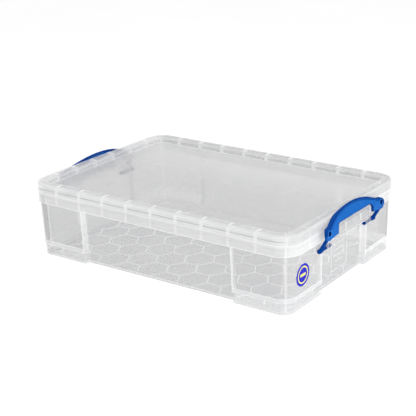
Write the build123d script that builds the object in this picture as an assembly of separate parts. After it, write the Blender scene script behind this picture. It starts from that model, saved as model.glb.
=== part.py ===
from build123d import *
import math
import os

# Clear polypropylene under-bed storage box: tub, lid, two swing handles and
# a round label.  Millimetres, +Z up, +X towards the labelled short end,
# origin at the middle of the footprint on the floor.
# A plan is a rounded rectangle given as (half size in X, half size in Y, corner radius).
# Small literal offsets let joined pieces overlap and cutters overshoot.
os.makedirs("parts", exist_ok=True)

# --------------------------------------------------------- shared dimensions
WALL = 2.2                 # moulded wall
RIB_HALF = 1.1             # half thickness of gussets and lid webs
SIDES = (1, -1)
RIB_PITCH = 63.9           # ribs along the long sides
RIBS_X = [0.0] + [side * i * RIB_PITCH for i in range(1, 5) for side in SIDES]
RIBS_Y = [side * y for y in (30.0, 90.0, 150.0) for side in SIDES]

LID_TOP_Z = 165.0          # overall height over the lid
LID_BOTTOM_Z = 144.0       # lid wall stands on the tub's flange here
LID = LID_HALF_X, LID_HALF_Y, LID_R = 333.9, 218.2, 43.0   # at the lid's top
LID_FLARE = 0.0432         # outward lean of lid and skirt walls going down, mm per mm

POST_HALF_X, POST_HALF_Y, POST_R = 323.5, 212.0, 30.0      # corner posts at POST_Z
POST_Z = 27.0
DRAFT = 0.034              # tub wall draft, mm per mm
SLOPE = math.degrees(math.atan(DRAFT))
RECESS = 13.2              # long and short walls sit this far inside the posts

RIM = RIM_HALF_X, RIM_HALF_Y, RIM_R = 328.1, 212.4, 38.0   # tub's upstand inside the lid
RIM_TOP_Z = 156.0

PIVOT_X, PIVOT_Z = 331.2, 102.0    # handle pivot axis, parallel to Y
PIN_R = 3.6


# ------------------------------------------------------------------- helpers
def drafted(post_half, z):
    return post_half + DRAFT * (z - POST_Z)


def post_plan(z):
    return drafted(POST_HALF_X, z), drafted(POST_HALF_Y, z), POST_R


def grown(plan, by):
    return tuple(size + by for size in plan)


def slab(plan, z0, z1, lean=0.0):
    """Plan at z0 extruded up to z1, leaning out by lean mm/mm."""
    half_x, half_y, radius = plan
    sketch = Pos(0, 0, z0) * RectangleRounded(2 * half_x, 2 * half_y, radius)
    return extrude(sketch, amount=z1 - z0, dir=(0, 0, 1),
                   taper=-math.degrees(math.atan(lean)))


def block(x0, x1, y0, y1, z0, z1):
    return Pos((x0 + x1) / 2, (y0 + y1) / 2, (z0 + z1) / 2) * Box(
        abs(x1 - x0), abs(y1 - y0), z1 - z0)


def xz_prism(points, y0, y1, side=1):
    """(x, z) polygon swept along Y; side -1 mirrors it to -X."""
    face = make_face(Polyline(*[(side * x, 0, z) for x, z in points], close=True))
    return Pos(0, y0, 0) * extrude(face, amount=y1 - y0, dir=(0, 1, 0))


def yz_prism(points, x0, x1, side=1):
    """(y, z) polygon swept along X; side -1 mirrors it to -Y."""
    face = make_face(Polyline(*[(0, side * y, z) for y, z in points], close=True))
    return Pos(x0, 0, 0) * extrude(face, amount=x1 - x0, dir=(1, 0, 0))


def y_cylinder(x, y, z, radius, length):
    return Pos(x, y, z) * Rot(90, 0, 0) * Cylinder(radius, length)


def upright_edges(solid):
    return solid.edges().filter_by(lambda edge: abs(edge.tangent_at(0.5).Z) > 0.9)


def corner_frames(plan):
    """Frames at the four corner centres of a plan, local X pointing out diagonally."""
    half_x, half_y, radius = plan
    return [Pos(sx * (half_x - radius), sy * (half_y - radius), 0)
            * Rot(0, 0, math.degrees(math.atan2(sy, sx)))
            for sx in SIDES for sy in SIDES]


# ------------------------------------------------------- tub: walls and foot
FLANGE_Z = LID_BOTTOM_Z    # upper face of the tub's flange
FOOT_Z, SHOULDER_Z = 25.2, 34.0
FOOT_INSET, FOOT_R = 1.5, 25.0
FOOT_PLAN = (drafted(POST_HALF_X, 0) - FOOT_INSET, drafted(POST_HALF_Y, 0) - FOOT_INSET, FOOT_R)
SHOULDER_PLAN_Z, SHOULDER_OUT = 24, 1.3    # shoulder stands out from the posts' plan here
RECESS_TOP_Z = 137.0
RECESS_R = 4.0
# prism builder, index of the depth axis, post half size along it,
# half length between the corner posts, outer end of the cutter
RECESSES = [(yz_prism, 1, POST_HALF_Y, 192.9, 300.0),
            (xz_prism, 0, POST_HALF_X, 89.6, 420.0)]
FLOOR_TOP_Z, FLOOR_UNDER_Z = 4.7, 2.5


def recess_solids(grow, z_low, z_top):
    """The four wall recesses, grown sideways and inwards."""
    solids = []
    for side in SIDES:
        for prism, axis, post_half, half_length, far in RECESSES:
            low, top = (drafted(post_half, z) - RECESS - grow for z in (z_low, z_top))
            end = half_length + grow
            solid = prism([(low, z_low), (top, z_top), (far, z_top), (far, z_low)],
                          -end, end, side)
            inner = [edge for edge in upright_edges(solid)
                     if abs(tuple(edge.center())[axis]) < far - 50]
            solids.append(fillet(inner, RECESS_R + grow))
    return solids


def make_outer():
    body = slab(post_plan(FOOT_Z), FOOT_Z, FLANGE_Z - 0.5, DRAFT)
    foot = slab(FOOT_PLAN, 0.0, FOOT_Z + 0.5, DRAFT)
    foot = fillet(foot.edges().group_by(Axis.Z)[0], 2.5)
    shoulder = slab(grown(post_plan(SHOULDER_PLAN_Z), SHOULDER_OUT), FOOT_Z, SHOULDER_Z)
    shoulder = chamfer(shoulder.edges().group_by(Axis.Z)[0] +
                       shoulder.edges().group_by(Axis.Z)[-1], 1.0)
    outer = body + foot + shoulder
    for recess in recess_solids(0.0, -1.0, RECESS_TOP_Z):
        outer = outer - recess
    return outer


def make_cavity():
    body_z = FOOT_Z + WALL
    foot = slab(grown(FOOT_PLAN, -WALL), FLOOR_TOP_Z, body_z + 0.1, DRAFT)
    body = slab(grown(post_plan(body_z), -WALL), body_z, FLANGE_Z - WALL, DRAFT)
    rim = slab(grown(RIM, -WALL), FLANGE_Z - WALL - 0.1, RIM_TOP_Z + 1)
    cavity = foot + body + rim
    for recess in recess_solids(WALL, -2.0, RECESS_TOP_Z + WALL):
        cavity = cavity - recess
    return cavity


# ---------------------------------------------------- tub: skirt and gussets
SKIRT_BOTTOM_Z = 122.5
SKIRT = SKIRT_HALF_X, SKIRT_HALF_Y, SKIRT_R = 335.75, 220.05, 44.85   # at its lower edge
BAND_HEIGHT, BAND_OUT = 9.5, 0.5     # thicker band along the lower edge
GUSSET_Z = (124.5, FLANGE_Z - 1.0)
GUSSET_IN_X, GUSSET_IN_Y = 312.6, 201.0    # inner ends, sunk in the recessed walls
CORNER_GUSSET = (37.0, 42.8)               # radial span from the skirt's corner centre


def make_skirt():
    """Flange on top, hollow below."""
    plan = grown(SKIRT, -BAND_OUT)
    skirt = slab(plan, SKIRT_BOTTOM_Z, FLANGE_Z, -LID_FLARE * 0.5)
    band = slab(SKIRT, SKIRT_BOTTOM_Z, SKIRT_BOTTOM_Z + BAND_HEIGHT, -LID_FLARE)
    band = chamfer(band.edges().group_by(Axis.Z)[-1], 0.3)
    skirt = skirt + band
    return skirt - slab(grown(plan, -WALL), SKIRT_BOTTOM_Z - 1.0, FLANGE_Z - WALL,
                        -LID_FLARE * 0.5)


def make_gussets():
    """Upright plates between wall and skirt."""
    gussets = []
    for x in RIBS_X:
        for side in SIDES:
            gussets.append(block(x - RIB_HALF, x + RIB_HALF, side * GUSSET_IN_Y,
                                 side * (SKIRT_HALF_Y - WALL), *GUSSET_Z))
    for y in RIBS_Y:
        for side in SIDES:
            gussets.append(block(side * GUSSET_IN_X, side * (SKIRT_HALF_X - WALL),
                                 y - RIB_HALF, y + RIB_HALF, *GUSSET_Z))
    for frame in corner_frames(SKIRT):
        gussets.append(frame * block(*CORNER_GUSSET, -RIB_HALF, RIB_HALF, *GUSSET_Z))
    return gussets


# ------------------------------------------------------- tub: catch housings
HOUSING_IN, HOUSING_X, HOUSING_Y = 333.6, 345.5, 66.0   # inner face, outer face, half width
HOUSING_BOTTOM_Z = 117.0
HOUSING_RIBS_Y, HOUSING_RIB_HALF = (-30.0, 30.0, 0.0), 1.0
# outlines as (x, z)
HOUSING_OUTLINE = [
    (HOUSING_IN, SKIRT_BOTTOM_Z), (338.5, HOUSING_BOTTOM_Z), (HOUSING_X, HOUSING_BOTTOM_Z),
    (HOUSING_X, 138.5), (HOUSING_X - 1.5, 140.3), (334.2, 143.6), (HOUSING_IN, 143.6)]
HOUSING_CORE = [
    (HOUSING_IN + 0.9, 110.0), (HOUSING_X - WALL, 110.0),
    (HOUSING_X - WALL, 137.5), (HOUSING_IN + 0.9, 141.2)]
HOUSING_RIB = [
    (HOUSING_IN + 0.4, 124.0), (HOUSING_X - 1.5, 119.0),
    (HOUSING_X - 1.5, 138.5), (HOUSING_IN + 0.4, 142.0)]


def make_housings():
    """In the middle of each short end, ribbed, hollow and open downwards."""
    housings = []
    for side in SIDES:
        housing = xz_prism(HOUSING_OUTLINE, -HOUSING_Y, HOUSING_Y, side)
        outer_edges = [edge for edge in upright_edges(housing)
                       if abs(edge.center().X) > HOUSING_X - 0.5]
        housing = fillet(outer_edges, 1.2)
        core_y = HOUSING_Y - WALL
        housings.append(housing - xz_prism(HOUSING_CORE, -core_y, core_y, side))
        for y in HOUSING_RIBS_Y:
            housings.append(xz_prism(HOUSING_RIB, y - HOUSING_RIB_HALF,
                                     y + HOUSING_RIB_HALF, side))
    return housings


# ------------------------------------------- tub: lugs, end marks and beads
LUG_Y = (85.0, 73.0)       # middle planes of the pivot lugs
LUG_T, LUG_R = 4.0, 6.4
LUG_ROOT_X, LUG_TIP_X = 311.4, 335.0
LUG_SHOULDER_Z, LUG_TOP_Z = 116.0, 124.0
PIN_CLEAR = 0.07
MOUTH_LENGTH, MOUTH_WIDTH, MOUTH_TILT = 14.0, 5.2, 40
LUG_OUTLINE = [            # (x, z)
    (LUG_ROOT_X, PIVOT_Z - LUG_R), (PIVOT_X, PIVOT_Z - LUG_R), (PIVOT_X + LUG_R, PIVOT_Z),
    (PIVOT_X + LUG_R, PIVOT_Z + 7.0), (LUG_TIP_X, LUG_SHOULDER_Z),
    (LUG_TIP_X, LUG_TOP_Z), (LUG_ROOT_X, LUG_TOP_Z)]

MARK_Z = 60.0
BAR_WIDTHS = (44, 36, 44, 28)              # from the top down
BAR_TOP, BAR_PITCH = 21, 13                # top bar above MARK_Z, spacing

BEAD_Z0, BEAD_Z1 = 30.0, 139.0
BEAD_SIZE = 2.6


def make_lugs():
    """Open-mouthed rings on plates standing off the recessed end walls."""
    lugs = []
    for side in SIDES:
        for end in SIDES:
            for lug_y in LUG_Y:
                x, y = side * PIVOT_X, end * lug_y
                plate = xz_prism(LUG_OUTLINE, y - LUG_T / 2, y + LUG_T / 2, side)
                ring = y_cylinder(x, y, PIVOT_Z, LUG_R, LUG_T)
                bore = y_cylinder(x, y, PIVOT_Z, PIN_R + PIN_CLEAR, LUG_T + 2)
                mouth = Pos(x, y, PIVOT_Z) * Rot(0, side * MOUTH_TILT, 0) * \
                    Pos(side * MOUTH_LENGTH / 2, 0, 0) * Box(MOUTH_LENGTH, LUG_T + 2, MOUTH_WIDTH)
                lugs.append(plate + ring - bore - mouth)
    return lugs


def make_marks():
    """Plain raised frame and bars on each recessed end wall."""
    marks = []
    for side in SIDES:
        mark = Box(1.7, 64, 73) - Box(4, 60.6, 69.6)
        for i, width in enumerate(BAR_WIDTHS):
            mark = mark + Pos(0, 0, BAR_TOP - BAR_PITCH * i) * Box(1.5, width, 3.0)
        wall_x = drafted(POST_HALF_X, MARK_Z) - RECESS
        marks.append(Pos(side * wall_x, 0, MARK_Z) * Rot(0, side * SLOPE, 0) * mark)
    return marks


def make_beads():
    """Upright bead inside each corner post, following the draft."""
    height = BEAD_Z1 - BEAD_Z0
    bead = Pos(POST_R - WALL - 1.2, 0, BEAD_Z0) * Rot(0, SLOPE, 0) * \
        Pos(0.6, 0, height / 2) * Box(BEAD_SIZE, BEAD_SIZE, height)
    return [frame * bead for frame in corner_frames(post_plan(BEAD_Z0))]


# ------------------------------------------------- tub: honeycomb underside
HEX_FLATS = 61.6           # honeycomb cell pitch across flats
HEX_RIB = 2.2
HEX_X, HEX_Y = 7.0, -10.0  # centre of one cell
UNDER = (303.5, 192.5, 8.0)
COMB_BOTTOM_Z = 0.6
COMB_LAP = 0.3             # sunk into the floor and the surrounding wall


def make_honeycomb():
    half_x, half_y, radius = UNDER
    cells = Pos(0, 0, COMB_BOTTOM_Z) * RectangleRounded(
        2 * (half_x + COMB_LAP), 2 * (half_y + COMB_LAP), radius)
    side = HEX_FLATS / math.sqrt(3)
    hexes = []
    for i in range(-7, 8):
        for j in range(-4, 5):
            x = HEX_X + i * 1.5 * side
            y = HEX_Y + j * HEX_FLATS + (HEX_FLATS / 2 if i % 2 else 0.0)
            if abs(x) < 336 and abs(y) < 222:
                hexes.append(Pos(x, y, COMB_BOTTOM_Z) * RegularPolygon(
                    (HEX_FLATS - HEX_RIB) / math.sqrt(3), 6))
    cells = cells - hexes
    return extrude(cells, amount=FLOOR_UNDER_Z - COMB_BOTTOM_Z + COMB_LAP, dir=(0, 0, 1))


def make_tub():
    tub = make_outer() + make_skirt()
    tub = tub + slab(RIM, FLANGE_Z - 1.0, RIM_TOP_Z)
    tub = tub + make_gussets()
    tub = tub + make_housings()
    tub = tub - make_cavity()
    # these stand inside the cavity or on the finished walls
    tub = tub + make_beads()
    tub = tub + make_lugs()
    tub = tub + make_marks()
    tub = tub - slab(UNDER, -1.0, FLOOR_UNDER_Z)
    return tub + make_honeycomb()


# ----------------------------------------------------------------------- lid
BORDER = 20.0              # width of the lid's raised border
DECK_Z = 150.5             # upper face of the recessed deck
GROOVE_Z = (152.3, 154.1)
GROOVE_DEPTH = 0.5         # in from the plan at the lid's top
GROOVE_GAP = 3.5           # half width of the groove's interruptions


def make_groove():
    """Groove along the outside, interrupted at the ribs."""
    groove = slab(grown(LID, 6), *GROOVE_Z) - slab(grown(LID, -GROOVE_DEPTH), 151.0, 156.0)
    for x in RIBS_X:
        groove = groove - block(x - GROOVE_GAP, x + GROOVE_GAP, -240, 240, 148, 158)
    for y in RIBS_Y:
        groove = groove - block(-350, 350, y - GROOVE_GAP, y + GROOVE_GAP, 148, 158)
    for frame in corner_frames(LID):
        groove = groove - frame * Pos(0, 0, 153) * Box(2 * LID_R + 20, 2 * GROOVE_GAP, 10)
    return groove


def make_web(lid_edge, rim_in, rim_out):
    """Rib in the border channel, notched over the upstand; local X points outward."""
    inner = lid_edge - BORDER + WALL - 0.4
    outer = lid_edge - WALL + 1.4
    notch_z = RIM_TOP_Z + 1.0
    across = (-RIB_HALF, RIB_HALF)
    top = block(inner, outer, *across, RIM_TOP_Z + 0.8, LID_TOP_Z - WALL + 0.4)
    outside = block(rim_out + 0.4, outer, *across, LID_BOTTOM_Z + 0.6, notch_z)
    inside = block(inner, rim_in - 0.4, *across, DECK_Z - WALL + 0.2, notch_z)
    return top + outside + inside


def make_webs():
    webs = []
    long_web = make_web(LID_HALF_Y, RIM_HALF_Y - WALL, RIM_HALF_Y)
    for x in RIBS_X:
        webs += [Pos(x, 0, 0) * Rot(0, 0, side * 90) * long_web for side in SIDES]
    end_web = make_web(LID_HALF_X, RIM_HALF_X - WALL, RIM_HALF_X)
    for y in RIBS_Y:
        webs += [Pos(0, y, 0) * Rot(0, 0, turn) * end_web for turn in (0, 180)]
    # the lid's and upstand's corner centres differ, so the notch shifts inwards
    corner_web = make_web(LID_R, RIM_R - WALL - 2.0, RIM_R - 1.2)
    return webs + [frame * corner_web for frame in corner_frames(LID)]


def make_lid():
    bottom = grown(LID, LID_FLARE * (LID_TOP_Z - LID_BOTTOM_Z))
    above = LID_TOP_Z + 5.0
    lid = slab(bottom, LID_BOTTOM_Z, LID_TOP_Z, -LID_FLARE)
    lid = fillet(lid.edges().group_by(Axis.Z)[-1], 3.2)
    void = slab(grown(bottom, LID_FLARE - WALL), LID_BOTTOM_Z - 1.0, LID_TOP_Z - WALL, -LID_FLARE)
    void = void - slab(grown(LID, WALL - BORDER), DECK_Z - WALL, above)
    lid = lid - void
    dish = slab(grown(LID, -BORDER), DECK_Z, above)
    dish = fillet(dish.edges().group_by(Axis.Z)[0], 2.0)
    lid = lid - dish
    inner_lip = [edge for edge in lid.edges().group_by(Axis.Z)[-1]
                 if abs(edge.center().X) < LID_HALF_X - BORDER + 1
                 and abs(edge.center().Y) < LID_HALF_Y - BORDER + 1]
    lid = fillet(inner_lip, 1.2)
    lid = lid - make_groove()
    return lid + make_webs()


# ------------------------------------------------------------------- handles
HANDLE_X = 353.5           # outer face of the handle's arms
HANDLE_TOP_Z = 172.0
HANDLE_T = 6.5
HANDLE_LEAN = 0.62         # inward lean of the arch above the bend, mm per mm
BEND_Z, BEND_R = 145.0, 15.0
PLATE_Z, PLATE_HALF_Y = (118.0, 182.0), 130.0      # bent plate before trimming
ARCH_R = 242.0
EAR_Y, EAR_Z, EAR_R = 105.2, 139.3, 11.6
EAR_BLEND = 24.0           # radius of the sweep from the arch into the ear
EAR_HOLE_Z, EAR_HOLE_R = 141.2, 5.2
WINDOW_Y, WINDOW_TOP_Z, WINDOW_R = 71.0, 150.3, 11.0
WINDOW_LOW_Z = 80.0        # below the handle, so the window is open downwards
ARM_BOTTOM_Z = 127.9
ARM_INNER_Y, ARM_INNER_Z = 76.0, 131.0   # the arms' lower edge rises towards the window
LEG_Y, LEG_R = 107.5, 3.8
LEG_TOP_X, LEG_TOP_Z = 349.0, 131.5
KNUCKLE_R, KNUCKLE_LENGTH = 4.8, 10.0
PIN_END_Y = 68.0


def arch_prism(arch, ear, bar, window):
    """Handle outline, inset by the given amounts, swept along X.

    With None for ear or window, that feature is left out.
    """
    disc = Pos(0, HANDLE_TOP_Z - ARCH_R) * Circle(ARCH_R - arch)
    edge_y, top_z = EAR_Y - 1.3 - bar, 185.0
    low_z, inner_z = ARM_BOTTOM_Z + bar, ARM_INNER_Z + bar
    face = disc & make_face(Polyline(
        (edge_y, low_z), (ARM_INNER_Y, inner_z), (-ARM_INNER_Y, inner_z), (-edge_y, low_z),
        (-edge_y, top_z), (edge_y, top_z), (edge_y, low_z)))
    if ear is not None:
        for side in SIDES:
            face = face + Pos(side * EAR_Y, EAR_Z) * Circle(EAR_R - ear)
        notches = [vertex for vertex in face.vertices()
                   if abs(vertex.Y - 150.0) < 6.0 and 90.0 < abs(vertex.X) < 105.0]
        face = fillet(notches, EAR_BLEND)
    if window is not None:
        top = WINDOW_TOP_Z + window
        face = face - Pos(0, (top + WINDOW_LOW_Z) / 2) * RectangleRounded(
            2 * (WINDOW_Y + window), top - WINDOW_LOW_Z, WINDOW_R + window)
    # local sketch x -> Y, sketch y -> Z
    face = Plane(origin=(310, 0, 0), x_dir=(0, 1, 0), z_dir=(1, 0, 0)) * face
    return extrude(face, amount=60, dir=(1, 0, 0))


def bend_points(depth):
    """(x, z) of the bend and of the top end, at a depth behind the outer face."""
    lean = math.atan(HANDLE_LEAN)
    x, z = HANDLE_X - depth * math.cos(lean), BEND_Z - depth * math.sin(lean)
    arm_x, top_z = HANDLE_X - depth, PLATE_Z[1]
    return (arm_x, z + (x - arm_x) / HANDLE_LEAN), (x - (top_z - z) * HANDLE_LEAN, top_z)


def bent_plate(front, rear):
    """Plate between two depths behind the handle's outer face."""
    front_bend, front_top = bend_points(front)
    rear_bend, rear_top = bend_points(rear)
    plate = xz_prism([(front_bend[0], PLATE_Z[0]), front_bend, front_top,
                      rear_top, rear_bend, (rear_bend[0], PLATE_Z[0])],
                     -PLATE_HALF_Y, PLATE_HALF_Y)
    for (x, z), depth in ((front_bend, front), (rear_bend, rear)):
        bend = [edge for edge in plate.edges().filter_by(Axis.Y)
                if abs(edge.center().X - x) < 1e-3 and abs(edge.center().Z - z) < 1e-3]
        plate = fillet(bend, BEND_R - depth)
    return plate


def make_handle():
    """Handle at the +X end."""
    handle = bent_plate(0.0, HANDLE_T) & arch_prism(arch=0.0, ear=0.0, bar=0.0, window=0.0)
    rear_pocket = bent_plate(2.7, HANDLE_T + 3.0) & arch_prism(
        arch=2.4, ear=None, bar=13.0, window=2.4)
    handle = handle - rear_pocket
    sunk_front = bent_plate(-3.0, 0.7) & arch_prism(arch=3.6, ear=3.2, bar=0.0, window=None)
    handle = handle - sunk_front
    # keep clear of the lid
    handle = handle - block(300, LID_HALF_X + 0.8, -200, 200, 105, 200)

    run, rise = LEG_TOP_X - PIVOT_X, LEG_TOP_Z - PIVOT_Z
    pin_length = LEG_Y - 4.0 - PIN_END_Y
    for side in SIDES:
        y = side * LEG_Y
        handle = handle - Pos(HANDLE_X - 1.7, side * EAR_Y, EAR_HOLE_Z) * \
            Rot(0, 90, 0) * Cylinder(EAR_HOLE_R, 4.0)
        # round bar from the arm down to the pivot, with the pin pointing inwards
        leg = Pos((LEG_TOP_X + PIVOT_X) / 2, y, (LEG_TOP_Z + PIVOT_Z) / 2) * \
            Rot(0, math.degrees(math.atan2(run, rise)), 0) * \
            Cylinder(LEG_R, math.hypot(run, rise))
        leg = leg & block(300, HANDLE_X, -200, 200, 90, 150)
        knuckle = y_cylinder(PIVOT_X, y, PIVOT_Z, KNUCKLE_R, KNUCKLE_LENGTH)
        knuckle = chamfer(knuckle.edges().filter_by(GeomType.CIRCLE), 1.0)
        tip = Pos(LEG_TOP_X, y, LEG_TOP_Z) * Sphere(LEG_R)
        tip = tip & block(330, HANDLE_X, -200, 200, 120, 150)
        pin = y_cylinder(PIVOT_X, side * (PIN_END_Y + pin_length / 2), PIVOT_Z,
                         PIN_R, pin_length)
        handle = handle + leg + knuckle + tip + pin
    return handle


# --------------------------------------------------------------------- label
LABEL_Y, LABEL_Z, LABEL_R, LABEL_T = -161.5, 71.5, 23.0, 0.4


def make_label():
    """Disc on the +X face of a corner post."""
    return Pos(drafted(POST_HALF_X, LABEL_Z) + 0.02, LABEL_Y, LABEL_Z) * \
        Rot(0, SLOPE, 0) * Rot(0, 90, 0) * Pos(0, 0, LABEL_T / 2) * Cylinder(LABEL_R, LABEL_T)


handle_right = make_handle()
parts = {
    "tub": make_tub(),
    "lid": make_lid(),
    "handle_right": handle_right,
    "handle_left": Rot(0, 0, 180) * handle_right,
    "round_label": make_label(),
}
for name, shape in parts.items():
    export_step(shape, "parts/" + name + ".step")
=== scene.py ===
import math

import bpy
from mathutils import Matrix, Vector


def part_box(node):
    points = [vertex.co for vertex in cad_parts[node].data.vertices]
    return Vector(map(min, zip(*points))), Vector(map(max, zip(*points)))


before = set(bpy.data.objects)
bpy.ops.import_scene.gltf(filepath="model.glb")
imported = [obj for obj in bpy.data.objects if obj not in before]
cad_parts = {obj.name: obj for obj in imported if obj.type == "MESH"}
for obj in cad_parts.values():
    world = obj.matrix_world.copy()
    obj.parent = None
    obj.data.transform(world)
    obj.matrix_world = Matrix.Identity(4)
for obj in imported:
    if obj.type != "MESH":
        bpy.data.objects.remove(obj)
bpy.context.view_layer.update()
scene = bpy.context.scene


# ------------------------------------------------------------ node helpers
class Value:
    """A number carried by a node socket.  Arithmetic on it adds Math nodes."""

    def __init__(self, tree, socket):
        self.tree, self.socket = tree, socket

    def math(self, operation, other=None):
        return self.tree.math(operation, self, other)

    def __add__(self, other): return self.math("ADD", other)
    def __sub__(self, other): return self.math("SUBTRACT", other)
    def __rsub__(self, other): return self.tree.math("SUBTRACT", other, self)
    def __mul__(self, other): return self.math("MULTIPLY", other)
    def __pow__(self, other): return self.math("POWER", other)
    def __abs__(self): return self.math("ABSOLUTE")

    def ramp(self, low, high, start=0.0, end=1.0, curve="SMOOTHSTEP"):
        """From start at low to end at high."""
        node = self.tree.node("ShaderNodeMapRange", {
            "Value": self, "From Min": low, "From Max": high,
            "To Min": start, "To Max": end}, clamp=True, interpolation_type=curve)
        return Value(self.tree, node.outputs["Result"])

    def falls(self, low, high, curve="SMOOTHSTEP"):
        """1 below low, 0 above high."""
        return self.ramp(low, high, start=1.0, end=0.0, curve=curve)

    def above(self, level, soft=0.0006):
        """1 above level, 0 below it, turning over soft to each side."""
        return self.ramp(level - soft, level + soft)

    def within(self, half, soft):
        """1 up to half, falling to 0 over soft."""
        return self.falls(half, half + soft)

    def near(self, centre, half, soft):
        """1 within half of centre, falling to 0 over soft."""
        return abs(self - centre).within(half, soft)


def most(first, *others):
    for other in others:
        first = first.math("MAXIMUM", other)
    return first


def least(first, other):
    return first.math("MINIMUM", other)


def hypotenuse(across, along):
    return (across * across + along * along).math("SQRT")


def blend(mask, off, on):
    """A number: off where mask is 0, on where it is 1."""
    node = mask.tree.node("ShaderNodeMix", {0: mask, 2: off, 3: on}, data_type="FLOAT")
    return Value(mask.tree, node.outputs[0])


def blend_colour(mask, off, on):
    node = mask.tree.node("ShaderNodeMix", {0: mask, 6: off, 7: on}, data_type="RGBA")
    return node.outputs[2]


def layered(base, *layers):
    """Lay each (mask, number) over base in turn."""
    for mask, number in layers:
        base = blend(mask, base, number)
    return base


class Tree:
    """Short hand for building one material's node tree."""

    def __init__(self, name):
        self.material = bpy.data.materials.new(name)
        self.material.use_nodes = True
        self.node_tree = self.material.node_tree
        self.node_tree.nodes.clear()
        self.place = self.node("ShaderNodeTexCoord").outputs["Object"]

    def node(self, kind, inputs=(), **properties):
        node = self.node_tree.nodes.new(kind)
        for key, value in properties.items():
            setattr(node, key, value)
        for key, value in dict(inputs).items():
            self.put(value, node.inputs[key])
        return node

    def put(self, value, socket):
        """Link a Value or a socket, or set a constant; None leaves the default."""
        if value is None:
            return
        if isinstance(value, Value):
            value = value.socket
        if isinstance(value, bpy.types.NodeSocket):
            self.node_tree.links.new(value, socket)
        elif isinstance(value, tuple) and len(value) == 3 and socket.type == "RGBA":
            socket.default_value = (*value, 1.0)
        else:
            socket.default_value = value

    def axes(self):
        node = self.node("ShaderNodeSeparateXYZ", {0: self.place})
        return [Value(self, socket) for socket in node.outputs]

    def math(self, operation, first, second=None, clamp=False):
        node = self.node("ShaderNodeMath", {0: first, 1: second},
                         operation=operation, use_clamp=clamp)
        return Value(self, node.outputs[0])

    def noise(self, scale, detail, rough, stretch=None):
        place = self.place
        if stretch:
            mapping = self.node("ShaderNodeMapping", {"Vector": place, "Scale": stretch})
            place = mapping.outputs["Vector"]
        node = self.node("ShaderNodeTexNoise", {
            "Vector": place, "Scale": scale, "Detail": detail, "Roughness": rough})
        return Value(self, node.outputs["Fac"])

    def bump(self, height, strength, distance):
        return self.node("ShaderNodeBump", {
            "Height": height, "Strength": strength, "Distance": distance}).outputs["Normal"]

    def edge(self, radius, gain, samples):
        """1 along sharp edges and corners, 0 on flat faces."""
        bevel = self.node("ShaderNodeBevel", {"Radius": radius}, samples=samples)
        geometry = self.node("ShaderNodeNewGeometry")
        dot = self.node("ShaderNodeVectorMath", {
            0: bevel.outputs[0], 1: geometry.outputs["Normal"]}, operation="DOT_PRODUCT")
        agreement = Value(self, dot.outputs["Value"])
        return (1.0 - abs(agreement)).ramp(0.0, gain, curve="LINEAR")

    def facing(self):
        node = self.node("ShaderNodeLayerWeight", {"Blend": 0.5})
        return Value(self, node.outputs["Facing"])

    def mix(self, factor, off, on):
        return self.node("ShaderNodeMixShader", {0: factor, 1: off, 2: on}).outputs[0]

    def clear(self, colour):
        return self.node("ShaderNodeBsdfTransparent", {"Color": colour}).outputs[0]

    def grey(self, value):
        return self.node("ShaderNodeCombineColor", {i: value for i in range(3)}).outputs[0]

    def principled(self, **values):
        inputs = {key.replace("_", " "): value for key, value in values.items()}
        return self.node("ShaderNodeBsdfPrincipled", inputs).outputs[0]

    def finish(self, surface):
        self.node("ShaderNodeOutputMaterial", {"Surface": surface})
        return self.material


# ---------------------------------------------------------- moulded features
# Rounded rectangles: half size along each axis, corner radius
LID = (0.3339, 0.2182, 0.043)
TUB = (0.3235, 0.2120, 0.030)
BORDER = 0.020                         # width of the lid's border
PITCH_X = 0.0639                       # ribs along the long sides
RIBS_Y = (0.030, 0.090, 0.150)         # ribs along the short sides, each side of 0
POST_X, POST_Y = 0.1929, 0.0896        # inner edges of the corner posts
TUB_WALL_X, TUB_WALL_Y = 0.306, 0.194  # the tub's walls lie outside these
SKIRT_LOW = 0.1225                     # lower edge of the skirt round the tub's top
HOUSING_X = 0.3372                     # outermost part of the tub's ends
GROOVE = (0.1523, 0.1541)              # bottom and top of the groove in the lid's wall
HEX_FLATS, HEX_X, HEX_Y = 0.0616, 0.007, -0.010     # floor cells: width, one centre


def from_corner_centre(abs_x, abs_y, outline):
    """Distances along each axis past the centre of the outline's corner arc."""
    half_x, half_y, radius = outline
    return abs_x - (half_x - radius), abs_y - (half_y - radius)


def outward(abs_x, abs_y, outline):
    """Distance outside (+) or inside (-) a rounded rectangle."""
    along_x, along_y = from_corner_centre(abs_x, abs_y, outline)
    far = hypotenuse(most(along_x, 0.0), most(along_y, 0.0))
    return far + least(most(along_x, along_y), 0.0) - outline[2]


def corner_highlight_line(abs_x, abs_y, outline):
    """The pale line down each rounded corner: partly the moulding there, partly a painted
    highlight.
    """
    along_x, along_y = from_corner_centre(abs_x, abs_y, outline)
    # shifted off the corner's middle to where the painted highlight falls
    offset = along_x - along_y + 0.0030
    return (abs(offset).within(half=0.0014 * 1.414, soft=0.0012)
            * least(along_x, along_y).above(0.004, soft=0.002))


def rib_lines(x, abs_x, abs_y, half, soft):
    """Ribs on the border: one per pitch along the long sides, RIBS_Y along the short."""
    step = (x + 10 * PITCH_X).math("PINGPONG", PITCH_X / 2.0)
    long_side = (step.near(0.0, half, soft)
                 * abs_x.falls(4.3 * PITCH_X, 4.4 * PITCH_X)
                 * abs_y.above(LID[1] - BORDER - 0.001))
    short_side = (most(*[abs_y.near(place, half, soft) for place in RIBS_Y])
                  * abs_x.above(LID[0] - BORDER - 0.001))
    return most(long_side, short_side)


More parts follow.
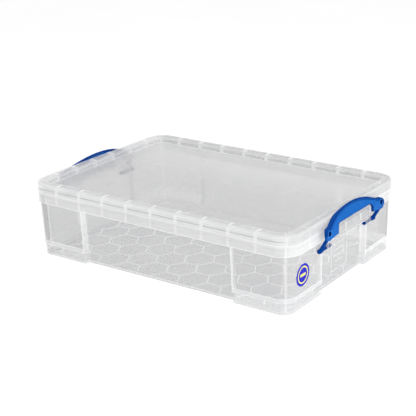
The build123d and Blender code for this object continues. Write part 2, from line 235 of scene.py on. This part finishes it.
def honeycomb(x, y):
    """1 along the walls of the hexagonal cells."""
    period_x = 1.5 * HEX_FLATS / math.sqrt(3)
    period_y = HEX_FLATS / 2.0
    slope = math.sqrt(0.75)
    near_x = (x + (12 * period_x - HEX_X)).math("PINGPONG", period_x)
    near_y = (y + (12 * period_y - HEX_Y)).math("PINGPONG", period_y)
    next_x, next_y = period_x - near_x, period_y - near_y
    # distances from the two closest cell centres, measured square to the cell's sides
    from_near = most(near_y, near_x * slope + near_y * 0.5)
    from_next = most(next_y, next_x * slope + next_y * 0.5)
    return (period_y - least(from_near, from_next)).within(half=0.0013, soft=0.0007)


# ---------------------------------------------------------- clear plastics
def clear_plastic(name, features):
    """Clear moulded plastic.  Each pass through a surface greys what lies behind it;
    corners, ribs and steps are whiter, let less through and glow faintly as painted light.

    features returns a dict: tone (grey of the body, set by region partly as painted light
    and shade), solid (how much body is seen), through (grey of what is seen through it),
    white and dark (masks of pale and dark lines; some pale lines are painted highlights,
    the dark lines are painted shade) and edge_white (how white the sharp edges are)."""
    tree = Tree(name)
    x, y, z = tree.axes()
    edge = tree.edge(radius=0.0015, gain=0.12, samples=6)
    cloud = tree.noise(scale=5.0, detail=4.0, rough=0.55)
    fine = tree.noise(scale=420.0, detail=2.0, rough=0.5)
    flow = tree.noise(scale=9.0, detail=3.0, rough=0.6, stretch=(1.0, 4.0, 1.0))

    look = features(x, y, z, abs(x), abs(y))
    dark = look["dark"]
    white = tree.math("ADD", look["white"], edge * look["edge_white"], clamp=True)
    # more body at grazing angles, slight clouding, and fuller on pale and dark lines
    solid = look["solid"] + tree.facing() ** 4.0 * 0.20
    solid = solid * cloud.ramp(0.3, 0.7, start=0.98, end=1.02)
    solid = blend(white, off=solid, on=0.70)
    solid = least(solid + dark * 0.6, 0.95)
    tone = look["tone"] * flow.ramp(0.25, 0.75, start=0.985, end=1.015)
    tone = blend(white, off=tone, on=0.96)
    tone = tone * (1.0 - dark)

    # the pale lines also glow faintly: painted light
    skin = tree.principled(
        Base_Color=tree.grey(tone),
        Roughness=fine.ramp(0.2, 0.8, start=0.18, end=0.34),
        IOR=1.49,
        Specular_IOR_Level=0.25,
        Emission_Color=(1.0, 1.0, 1.0),
        Emission_Strength=white * 0.10,
        Normal=tree.bump(fine * 0.3 + flow, strength=0.12, distance=0.0004))
    milk = tree.node("ShaderNodeBsdfTranslucent", {"Color": tree.grey(tone)}).outputs[0]
    body = tree.mix(0.40, skin, milk)
    seen = tree.mix(solid, tree.clear(tree.grey(look["through"])), body)

    # lamps and bounced light take a plain, noise-free path through the walls
    rays = tree.node("ShaderNodeLightPath")
    plain_wall = tree.clear((0.965, 0.966, 0.968))
    return tree.finish(tree.mix(rays.outputs["Is Camera Ray"], plain_wall, seen))


def tub_features(x, y, z, abs_x, abs_y):
    wall_z = z.above(0.026) * z.falls(0.137, 0.139)
    below_skirt = wall_z * z.falls(SKIRT_LOW - 0.003, SKIRT_LOW)

    # steps where the walls meet the corner posts, their whiteness weighted by side of the
    # tub as painted light
    step_band = dict(half=0.0026, soft=0.0014)
    step_long = abs_x.near(POST_X + 0.0008, **step_band) * abs_y.above(TUB_WALL_Y)
    step_short = abs_y.near(POST_Y + 0.0008, **step_band) * abs_x.above(TUB_WALL_X)
    lug = abs_x.above(0.3120) * (abs_y.near(0.079, half=0.0095, soft=0.001)
                                 * (z.above(0.094) * z.falls(0.122, SKIRT_LOW)))
    pale = most(step_long * below_skirt, step_short * below_skirt, lug)
    # painted light: each step shows whiter or fainter by the side of the tub it lies on
    step_long = step_long * most(x.ramp(-0.05, 0.05, start=0.20, end=0.62),
                                 y.ramp(0.0, 0.05, start=0.0, end=0.40))
    step_short = step_short * most(y.ramp(-0.05, 0.05, start=0.62, end=0.34),
                                   x.ramp(-0.05, 0.05, start=0.45, end=0.0))
    step = most(step_long, step_short) * below_skirt
    # painted shade: a thin dark line beside each step of the front wall
    step_shade_line = (abs_x.near(POST_X - 0.0016, half=0.0009, soft=0.0008)
            * abs_y.above(TUB_WALL_Y) * abs_y.falls(0.2015, 0.2030)
            * z.falls(0.135, 0.137) * z.above(0.030) * y.falls(-0.05, 0.05))

    # corner posts: corner line with a painted highlight, rounded corner, shoulder over the
    # foot
    at_post = abs_x.above(0.190) * abs_y.above(0.087)
    post_out = outward(abs_x, abs_y, TUB)
    outer = post_out.above(-0.0016)
    corner_highlight = corner_highlight_line(abs_x, abs_y, TUB)
    corner = least(*from_corner_centre(abs_x, abs_y, TUB)).above(-0.0035, soft=0.0035)
    # painted shade on the rounded corners, only those where x and y have the same sign
    shaded_round_corner = corner * at_post * (x * y).ramp(-0.001, 0.001)
    shoulder = z.near(0.0296, half=0.0046, soft=0.0006) * (outer * at_post)
    foot = z.falls(0.0252, 0.0256) * z.above(0.005) * at_post
    # pale upright line near the left end of the front wall
    upright_line = (x.near(-0.2872, half=0.0009, soft=0.0010)
            * y.falls(-0.2095, -0.2085) * wall_z)

    # underside: comb and honeycomb within the walls, plinth and sole outside them
    inside = abs_x.falls(0.3032, 0.3038) * abs_y.falls(0.1922, 0.1928)
    comb = z.falls(0.0021, 0.0024) * inside
    plinth = z.falls(0.0046, 0.0052) * (1.0 - inside) * (1.0 - at_post)
    sole = z.falls(0.0010, 0.0018) * (1.0 - inside)
    cells = (honeycomb(x, y) * z.falls(0.0050, 0.0056)
             * (abs_x.falls(0.3030, 0.3036) * abs_y.falls(0.1920, 0.1926)))
    cells = most(comb, cells)

    # skirt round the top, its lower hem and its ribs
    skirt = z.above(SKIRT_LOW) * post_out.above(0.0055)
    hem = skirt * z.falls(SKIRT_LOW + 0.0009, SKIRT_LOW + 0.0018)
    gusset = rib_lines(x, abs_x, abs_y, half=0.0020, soft=0.0030) * skirt
    ledge = z.above(0.1405)
    housing = abs_x.above(HOUSING_X, soft=0.0004) * z.falls(0.1435, 0.1438)
    rail = (z.near(0.1176, half=0.0012, soft=0.0008)
            * abs_x.above(HOUSING_X, soft=0.0004))
    band = most(skirt, foot)

    ends = abs_x.above(0.3085, soft=0.0015)
    # painted shade: the left part of the front wall is toned darker
    shaded_front_left = x.falls(-0.196, -0.190) * y.falls(-0.2055, -0.2045)
    return dict(
        # painted light and shade: end walls paler than the long walls; the front left, the
        # foot's left part and the corners darker
        tone=layered(
            blend(ends, off=0.83, on=y.ramp(0.060, 0.095, start=0.93, end=0.82)),
            (shaded_front_left, 0.68),
            (band, 0.90),
            (skirt, 0.98),
            (foot * x.falls(-0.25, 0.05), 0.64),
            (plinth, 0.60),
            (shaded_round_corner * (1.0 - band), 0.55),
            (housing, 0.62)),
        solid=layered(
            blend(ends, off=0.14, on=0.17),
            (skirt, 0.42),
            (plinth, 0.30),
            (shaded_round_corner * (1.0 - band), 0.19)),
        through=layered(
            blend(band, off=0.870, on=0.95),
            (cells, 0.99),
            (pale, 0.975)),
        # each line times how white it is; the side weights on the steps and shoulder and
        # the corner line are painted light
        white=most(
            step * 1.0,
            cells,
            corner_highlight * y.ramp(0.0, 0.05, start=0.36, end=0.80),
            upright_line * 0.60,
            shoulder * y.ramp(0.0, 0.05, start=0.62, end=0.85),
            gusset * 0.26,
            hem * 0.50,
            ledge * 0.22,
            sole * 0.40,
            rail * 0.60),
        dark=step_shade_line * 0.12,
        edge_white=blend(skirt, off=0.80, on=0.30) * (1.0 - z.above(0.139) * 0.85))


def lid_features(x, y, z, abs_x, abs_y):
    out = outward(abs_x, abs_y, LID)
    border = out.above(-BORDER)
    wall = out.above(-0.0012, soft=0.0004) * z.falls(0.1615, 0.163)
    ribs = rib_lines(x, abs_x, abs_y, half=0.0030, soft=0.0018)
    # a pale line down each rounded corner of the border, partly a painted highlight
    corner = corner_highlight_line(abs_x, abs_y, LID) * border
    # painted shade in the groove round the wall, broken by the ribs, weaker at the ends and
    # the back
    groove_shade = (z.above(GROOVE[0] - 0.0002, soft=0.0003)
              * z.falls(GROOVE[1] + 0.0001, GROOVE[1] + 0.0005)
              * wall * (1.0 - rib_lines(x, abs_x, abs_y, half=0.0034, soft=0.0008))
              * abs_y.ramp(LID[1] - 0.012, LID[1] - 0.004, start=0.30, end=1.0)
              * y.ramp(0.0, 0.05, start=1.0, end=0.15))
    # outer top edge, then the top and foot of the border's inner edge
    brow = out.above(-0.0042, soft=0.0008) * z.above(0.1612)
    lip = out.near(-BORDER + 0.0004, half=0.0010, soft=0.0008) * z.above(0.158)
    heel = out.near(-BORDER, half=0.0012, soft=0.0012) * z.falls(0.1515, 0.1525)
    rim = wall * z.falls(0.1452, 0.1460)              # lower edge of the wall
    turn = least(*from_corner_centre(abs_x, abs_y, LID)).above(0.0, soft=0.006) * wall

    at_end = abs_x.ramp(LID[0] - 0.016, LID[0] - 0.006)
    end_border = at_end * (border * (1.0 - wall))
    back = border * y.above(0.196, soft=0.002)
    # painted light: ribs are whiter along the back and left, fainter on the wall and at the
    # right end
    away = most(y.ramp(0.190, 0.196), x.falls(-0.312, -0.306))
    rib_white = border * blend(wall, off=blend(away, off=0.46, on=0.70), on=0.30)
    ribs = ribs * rib_white * x.ramp(0.3100, 0.3130, start=1.0, end=0.45)
    return dict(
        # painted light and shade: the deck paler towards the back; the border darker at the
        # left end; the wall darker at the ends; the right end's border and the back border
        # darker
        tone=layered(
            blend(border,
                  off=y.ramp(-0.05, 0.19, start=0.59, end=0.73),
                  on=x.ramp(-0.316, -0.310, start=0.74, end=0.80)),
            (wall, blend(at_end, off=0.97, on=0.84)),
            (end_border * x.above(0.0, soft=0.01), 0.72),
            (back, 0.58)),
        solid=layered(
            blend(border, off=0.315, on=0.27),
            (back, 0.34),
            (border * x.falls(-0.318, -0.312), 0.20),
            (wall, 0.44)),
        through=blend(border, off=0.93, on=0.95),
        # each line times how white it is; the side weights on ribs and turns and the corner
        # line are painted light
        white=most(
            ribs,
            turn * x.ramp(-0.1, 0.1, start=1.0, end=0.2) * 0.36,
            corner * 0.30,
            brow * 0.42,
            most(lip, heel) * 0.34,
            rim * 0.45),
        dark=groove_shade * 0.46,
        edge_white=0.04)


# ----------------------------------------------------------- blue handles
ARCH_R, ARCH_DROP = 0.242, 0.070       # outer arc and the depth of its centre below z = 0
EAR_Y, EAR_Z, EAR_R = 0.1052, 0.1393, 0.0116        # round ends
HOLE_Z, HOLE_R = 0.1412, 0.0052        # moulded recess in each end, at EAR_Y
ARM_X = 0.3535                         # outer face of the arms
BEND_Z, BEND_SLOPE = 0.145, 0.62       # the outer face leans inward above this height
WINDOW = (0.071, 0.1503, 0.011)        # opening: half width, top, corner radius


def blue_plastic():
    tree = Tree("blue_handle")
    fine = tree.noise(scale=900.0, detail=3.0, rough=0.6)
    cloud = tree.noise(scale=35.0, detail=3.0, rough=0.5)
    edge = tree.edge(radius=0.0007, gain=0.12, samples=4)
    x, y, z = tree.axes()
    abs_y = abs(y)

    # depth inside the outline: from the arch or from the round ear, whichever is deeper
    arch = ARCH_R - hypotenuse(y, z + ARCH_DROP)
    ear = EAR_R - hypotenuse(abs_y - EAR_Y, z - EAR_Z)
    deep = most(arch, ear)
    side = deep.falls(0.0002, 0.0004)
    rim = deep.near(0.0010, half=0.0006, soft=0.0005)
    inset_line = (deep.near(0.0040, half=0.0005, soft=0.0006)
                  * ear.ramp(-0.001, 0.001, start=1.0, end=0.6))
    # depth behind the outer face
    sink = ARM_X - abs(x) - most(z - BEND_Z, 0.0) * BEND_SLOPE
    inner = sink.ramp(0.0036, 0.0050)
    face = deep.ramp(0.0016, 0.0034) * (1.0 - inner)
    sill = outward(abs_y, z, WINDOW).falls(0.0004, 0.0016)
    leg = z.falls(0.1262, 0.1282) * abs_y.above(0.085)
    hole = hypotenuse(abs_y - EAR_Y, z - HOLE_Z)
    # painted highlight: a pale ring round each ear's hole; painted shade inside the hole
    hole_glint = hole.near(HOLE_R + 0.0018, half=0.0006, soft=0.0009)
    hole_shade = hole.falls(HOLE_R - 0.0002, HOLE_R + 0.0006)
    # painted shade: dark lines at the rim, the inset line, the window sill, the set-back
    # part, the sides, the leg and the hole, each times its strength
    shade_lines = most(inset_line * 0.62, sill * 0.60, inner * 0.50, rim * 0.80,
                side * 0.30, leg * 0.28, hole_shade * 0.82)

    # painted shade: the blue turns navy where nearby parts crowd the surface
    occlusion_shade_node = tree.node("ShaderNodeAmbientOcclusion", {"Distance": 0.008}, samples=6)
    unshaded = Value(tree, occlusion_shade_node.outputs["AO"]).ramp(0.30, 0.80)
    face_blue = blend_colour(cloud.ramp(0.3, 0.7),
                             off=(0.009, 0.120, 0.45), on=(0.014, 0.132, 0.49))
    # painted light and shade: a lighter face, darker blue towards the outline and on the
    # set-back part
    colour = blend_colour(face, off=(0.001, 0.080, 0.40), on=face_blue)
    colour = blend_colour(hole_glint * 0.45, off=colour, on=(0.04, 0.25, 0.72))
    # painted highlight: paler blue along sharp edges
    colour = blend_colour(edge * 0.22, off=colour, on=(0.02, 0.17, 0.62))
    colour = blend_colour(unshaded, off=(0.001, 0.016, 0.13), on=colour)
    colour = blend_colour(shade_lines, off=colour, on=(0.001, 0.012, 0.11))
    return tree.finish(tree.principled(
        Base_Color=colour,
        Roughness=fine.ramp(0.2, 0.8, start=0.36, end=0.52),
        IOR=1.40,
        Specular_IOR_Level=0.03,
        Subsurface_Weight=0.04,
        Subsurface_Radius=(0.2, 0.4, 1.0),
        Subsurface_Scale=0.002,
        Normal=tree.bump(fine, strength=0.10, distance=0.0002)))


# ------------------------------------------------------------------- label
RING_R = 0.0165                        # middle of the printed ring


def label_print():
    """A printed sticker, facing along X: plain ring and bar, no lettering."""
    tree = Tree("label_print")
    _, y, z = tree.axes()
    low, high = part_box("round_label")
    from_y = y - (low.y + high.y) / 2
    from_z = z - (low.z + high.z) / 2
    radius = hypotenuse(from_y, from_z)
    ring = abs(radius - RING_R).falls(0.0013, 0.0016, curve="LINEAR")
    bar = (abs(from_z).falls(0.0026, 0.0030, curve="LINEAR")
           * abs(from_y).falls(0.0090, 0.0094, curve="LINEAR"))
    mark = most(ring, bar)
    fine = tree.noise(scale=700.0, detail=2.0, rough=0.5)
    ink = blend_colour(fine.ramp(0.3, 0.7),
                       off=(0.012, 0.014, 0.46), on=(0.018, 0.022, 0.54))
    return tree.finish(tree.principled(
        Base_Color=blend_colour(mark, off=ink, on=(0.86, 0.78, 0.20)),
        Roughness=fine.ramp(0.2, 0.8, start=0.42, end=0.55),
        Specular_IOR_Level=0.10,
        Normal=tree.bump(fine * 0.2 + mark, strength=0.1, distance=0.00005)))


def dress(material, *names):
    """Give every face of the named pieces this material."""
    for name in names:
        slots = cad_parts[name].data.materials
        slots.clear()
        slots.append(material)


dress(clear_plastic("clear_tub", tub_features), "tub")
dress(clear_plastic("clear_lid", lid_features), "lid")
dress(blue_plastic(), "handle_right", "handle_left")
dress(label_print(), "round_label")


# ------------------------------------------------------- floor and lights
FLOOR_HALF, FLOOR_Z = 30.0, -0.0004    # half side; just below the tub


def floor_material():
    tree = Tree("pale_floor")
    cloud = tree.noise(scale=3.0, detail=3.0, rough=0.5)
    skin = tree.principled(
        Base_Color=blend_colour(cloud.ramp(0.3, 0.7),
                                off=(0.945, 0.945, 0.945), on=(0.955, 0.955, 0.955)),
        Roughness=0.9,
        Specular_IOR_Level=0.1)
    glow = tree.node("ShaderNodeEmission", {"Strength": 0.12}).outputs[0]
    return tree.finish(tree.node("ShaderNodeAddShader", {0: skin, 1: glow}).outputs[0])


def add_floor():
    mesh = bpy.data.meshes.new("floor")
    corners = [(side_x * FLOOR_HALF, side_y * FLOOR_HALF, FLOOR_Z)
               for side_x, side_y in ((-1, -1), (1, -1), (1, 1), (-1, 1))]
    mesh.from_pydata(corners, [], [(0, 1, 2, 3)])
    floor = bpy.data.objects.new("floor", mesh)
    scene.collection.objects.link(floor)
    mesh.materials.append(floor_material())


def add_sky(as_light, to_camera):
    """An even white sky, with one strength as a light and one as seen directly."""
    world = bpy.data.worlds.new("soft_sky")
    scene.world = world
    world.use_nodes = True
    nodes, links = world.node_tree.nodes, world.node_tree.links
    background = nodes["Background"]
    background.inputs["Color"].default_value = (1.0, 1.0, 1.0, 1.0)
    rays = nodes.new("ShaderNodeLightPath")
    level = nodes.new("ShaderNodeMapRange")
    level.inputs["To Min"].default_value = as_light
    level.inputs["To Max"].default_value = to_camera
    links.new(rays.outputs["Is Camera Ray"], level.inputs["Value"])
    links.new(level.outputs["Result"], background.inputs["Strength"])


def add_softbox(name, place, target, size, power):
    light = bpy.data.lights.new(name, "AREA")
    light.shape = "RECTANGLE"
    light.size, light.size_y = size
    light.energy = power
    lamp = bpy.data.objects.new(name, light)
    scene.collection.objects.link(lamp)
    place = Vector(place)
    turn = (Vector(target) - place).to_track_quat("-Z", "Y").to_matrix().to_4x4()
    lamp.matrix_world = Matrix.Translation(place) @ turn


add_floor()
add_sky(as_light=0.90, to_camera=1.03)
add_softbox("top_softbox", place=(-0.3, 0.2, 1.9), target=(0.0, 0.0, 0.1),
            size=(1.6, 1.2), power=5.0)
add_softbox("right_softbox", place=(2.2, -0.6, 0.75), target=(0.3, 0.0, 0.1),
            size=(1.2, 1.2), power=14.0)

# ------------------------------------------------------------------ camera
EYE = Vector((1.349443077, -1.784882834, 0.908749042))
YAW, PITCH, ROLL = 0.5463385828, 0.2870759633, -0.0064491039    # left, down, tilt; radians
LENS, SENSOR = 93.71733181, 36.0                                # mm
SHIFT_X, SHIFT_Y = -0.265735529, -0.164937404                   # in sensor widths


def add_camera():
    forward = Vector((-math.sin(YAW) * math.cos(PITCH),
                      math.cos(YAW) * math.cos(PITCH),
                      -math.sin(PITCH)))
    level_right = Vector((math.cos(YAW), math.sin(YAW), 0.0))
    level_up = level_right.cross(forward)
    right = math.cos(ROLL) * level_right + math.sin(ROLL) * level_up
    up = -math.sin(ROLL) * level_right + math.cos(ROLL) * level_up
    camera = bpy.data.cameras.new("camera")
    camera.sensor_fit = "HORIZONTAL"
    camera.sensor_width = SENSOR
    camera.lens = LENS
    camera.shift_x, camera.shift_y = SHIFT_X, SHIFT_Y
    camera.clip_start, camera.clip_end = 0.05, 200.0
    holder = bpy.data.objects.new("camera", camera)
    scene.collection.objects.link(holder)
    turn = Matrix((right, up, -forward)).transposed().to_4x4()
    holder.matrix_world = Matrix.Translation(EYE) @ turn
    scene.camera = holder


add_camera()
scene.view_settings.view_transform = "Standard"
scene.cycles.transparent_max_bounces = 48      # many clear walls lie behind each other
scene.cycles.max_bounces = 16
